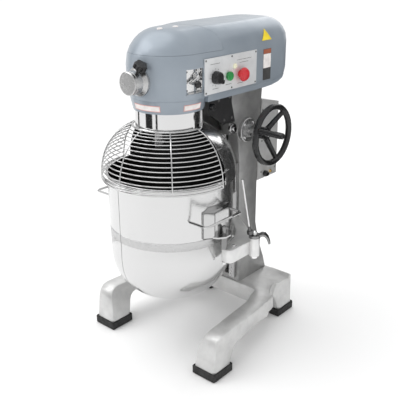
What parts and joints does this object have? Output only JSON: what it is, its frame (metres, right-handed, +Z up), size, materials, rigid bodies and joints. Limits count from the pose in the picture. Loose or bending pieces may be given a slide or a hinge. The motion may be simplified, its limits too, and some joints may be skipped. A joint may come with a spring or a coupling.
{
  "type": "commercial planetary stand mixer",
  "caption": "Floor-standing planetary mixer: four-legged cast base, column, gear head, handwheel-raised bowl on a yoke, wire bowl guard and side control panel.",
  "frame": {"origin": "on the floor, under the middle of the bounding box", "axes": "+Z up, front of the machine (attachment hub and bowl guard cage) towards -Y, control panel and handwheel on the +X side"},
  "size_m": [0.6122, 0.7068, 1.066],
  "materials": {
    "head_paint": "smooth satin blue-grey enamel",
    "cast_paint": "silver-grey hammered paint on cast iron",
    "yoke_paint": "light silver paint on a casting",
    "polished_steel": "mirror-polished stainless steel",
    "machined_steel": "machined bare steel",
    "chrome": "bright chrome plate",
    "brass": "machined",
    "panel": "satin printed sheet, left blank",
    "black_paint": "satin black enamel",
    "black_plastic": "moulded, gloss",
    "rubber": "moulded, matt",
    "green_plastic": "moulded",
    "red_plastic": "moulded",
    "lamp_lens": "translucent lens"
  },
  "bodies": {
    "frame": {"base_frame": "cast_paint", "foot_cap_front_left": "rubber", "foot_cap_front_right": "rubber", "foot_cap_rear_left": "rubber", "foot_cap_rear_right": "rubber", "column_casting": "cast_paint", "slideway_left": "machined_steel", "slideway_right": "machined_steel", "neck_plate_left": "black_paint", "neck_plate_right": "black_paint", "rear_cover": "cast_paint", "contactor": "black_plastic", "cable_gland": "black_plastic", "head_housing": "head_paint", "head_top_cover": "head_paint", "nose_ring": "head_paint", "ring_gear": "machined_steel", "guard_collar": "polished_steel", "guard_shell": "polished_steel", "guard_switch": "black_plastic", "attachment_hub": "machined_steel", "hub_cover": "machined_steel", "control_plate": "panel", "indicator_lamp": "lamp_lens", "shift_plate": "chrome", "motor": "black_paint", "screw_bearing": "machined_steel", "bearing_flange": "machined_steel"},
    "bowl_lift": {"bowl_yoke": "yoke_paint", "lift_nut": "brass", "bowl": "polished_steel", "bowl_ear_left": "polished_steel", "bowl_ear_right": "polished_steel", "bowl_handle_left": "polished_steel", "bowl_handle_right": "polished_steel", "bowl_pin_left": "chrome", "bowl_pin_right": "chrome", "clamp_pivot_left": "chrome", "clamp_pivot_right": "chrome"},
    "clamp_right": {"clamp_lever_right": "chrome", "clamp_bar": "chrome"},
    "clamp_left": {"clamp_lever_left": "chrome"},
    "handwheel_body": {"handwheel": "black_plastic", "wheel_shaft": "machined_steel"},
    "crank_grip_body": {"crank_grip": "black_plastic"},
    "lift_screw_body": {"lift_screw": "machined_steel"},
    "guard_cage_body": {"guard_cage": "polished_steel"},
    "planetary": {"planetary_carrier": "machined_steel", "main_shaft": "machined_steel"},
    "agitator": {"agitator_shaft": "machined_steel", "planet_gear": "machined_steel"},
    "drive_shaft_body": {"drive_shaft": "machined_steel"},
    "hub_shaft_body": {"hub_shaft": "machined_steel"},
    "motor_rotor_body": {"motor_rotor": "machined_steel"},
    "selector": {"speed_selector": "black_plastic"},
    "start": {"start_button": "green_plastic"},
    "stop": {"stop_button": "red_plastic"},
    "shift": {"shift_lever": "chrome", "shift_knob": "black_plastic"},
    "thumb_screw": {"hub_thumb_screw": "black_plastic"}
  },
  "joints": [
    {"name": "bowl_lift_slide", "type": "slide", "parent": "frame", "child": "bowl_lift", "axis": [0, 0, 1], "range_m": [-0.15, 0]},
    {"name": "lift_screw_turn", "type": "hinge", "parent": "frame", "child": "lift_screw_body", "pos_m": [0, 0.14335, 0.69], "axis": [0, 0, 1], "range_deg": [0, 5401]},
    {"name": "handwheel_turn", "type": "hinge", "parent": "frame", "child": "handwheel_body", "pos_m": [0.198, 0.14335, 0.712], "axis": [1, 0, 0], "range_deg": [0, 5401]},
    {"name": "crank_grip_spin", "type": "hinge", "parent": "handwheel_body", "child": "crank_grip_body", "pos_m": [0.198, 0.05549, 0.74398], "axis": [1, 0, 0], "continuous": true},
    {"name": "clamp_right_turn", "type": "hinge", "parent": "bowl_lift", "child": "clamp_right", "pos_m": [0.26, -0.02565, 0.424], "axis": [0, 0, 1], "range_deg": [-100, 0]},
    {"name": "clamp_left_turn", "type": "hinge", "parent": "bowl_lift", "child": "clamp_left", "pos_m": [-0.26, -0.02565, 0.424], "axis": [0, 0, 1], "range_deg": [0, 100]},
    {"name": "guard_cage_turn", "type": "hinge", "parent": "frame", "child": "guard_cage_body", "pos_m": [0, -0.13365, 0.771], "axis": [0, 0, 1], "range_deg": [0, 110]},
    {"name": "planetary_turn", "type": "hinge", "parent": "frame", "child": "planetary", "pos_m": [0, -0.13365, 0.8257], "axis": [0, 0, 1], "continuous": true},
    {"name": "agitator_turn", "type": "hinge", "parent": "planetary", "child": "agitator", "pos_m": [0, -0.17865, 0.8257], "axis": [0, 0, 1], "continuous": true},
    {"name": "drive_shaft_turn", "type": "hinge", "parent": "frame", "child": "drive_shaft_body", "pos_m": [0, -0.03365, 0.922], "axis": [0, 1, 0], "continuous": true},
    {"name": "hub_shaft_turn", "type": "hinge", "parent": "frame", "child": "hub_shaft_body", "pos_m": [0, -0.23365, 0.922], "axis": [0, 1, 0], "continuous": true},
    {"name": "motor_turn", "type": "hinge", "parent": "frame", "child": "motor_rotor_body", "pos_m": [0, 0.11635, 0.9845], "axis": [0, 1, 0], "continuous": true},
    {"name": "selector_turn", "type": "hinge", "parent": "frame", "child": "selector", "pos_m": [0.1285, -0.06365, 0.921], "axis": [1, 0, 0], "range_deg": [-270, 0]},
    {"name": "start_press", "type": "slide", "parent": "frame", "child": "start", "axis": [-1, 0, 0], "range_m": [0, 0.003], "stiffness_N_per_m": 800},
    {"name": "stop_press", "type": "slide", "parent": "frame", "child": "stop", "axis": [-1, 0, 0], "range_m": [0, 0.005]},
    {"name": "shift_turn", "type": "hinge", "parent": "frame", "child": "shift", "pos_m": [0.126, -0.13165, 0.93], "axis": [1, 0, 0], "range_deg": [-45, 45]},
    {"name": "thumb_screw_turn", "type": "hinge", "parent": "frame", "child": "thumb_screw", "pos_m": [0, -0.27965, 0.922], "axis": [0.5519, 0, 0.8339], "range_deg": [0, 720]}
  ],
  "couplings": [
    {"joint": "lift_screw_turn", "follows": "bowl_lift_slide", "rad_per_m": -628.32},
    {"joint": "handwheel_turn", "follows": "bowl_lift_slide", "rad_per_m": -628.32},
    {"joint": "agitator_turn", "follows": "planetary_turn", "ratio": -2.6},
    {"joint": "drive_shaft_turn", "follows": "planetary_turn", "ratio": 1.6667},
    {"joint": "hub_shaft_turn", "follows": "planetary_turn", "ratio": -1.6667},
    {"joint": "motor_turn", "follows": "planetary_turn", "ratio": -3.3333}
  ]
}
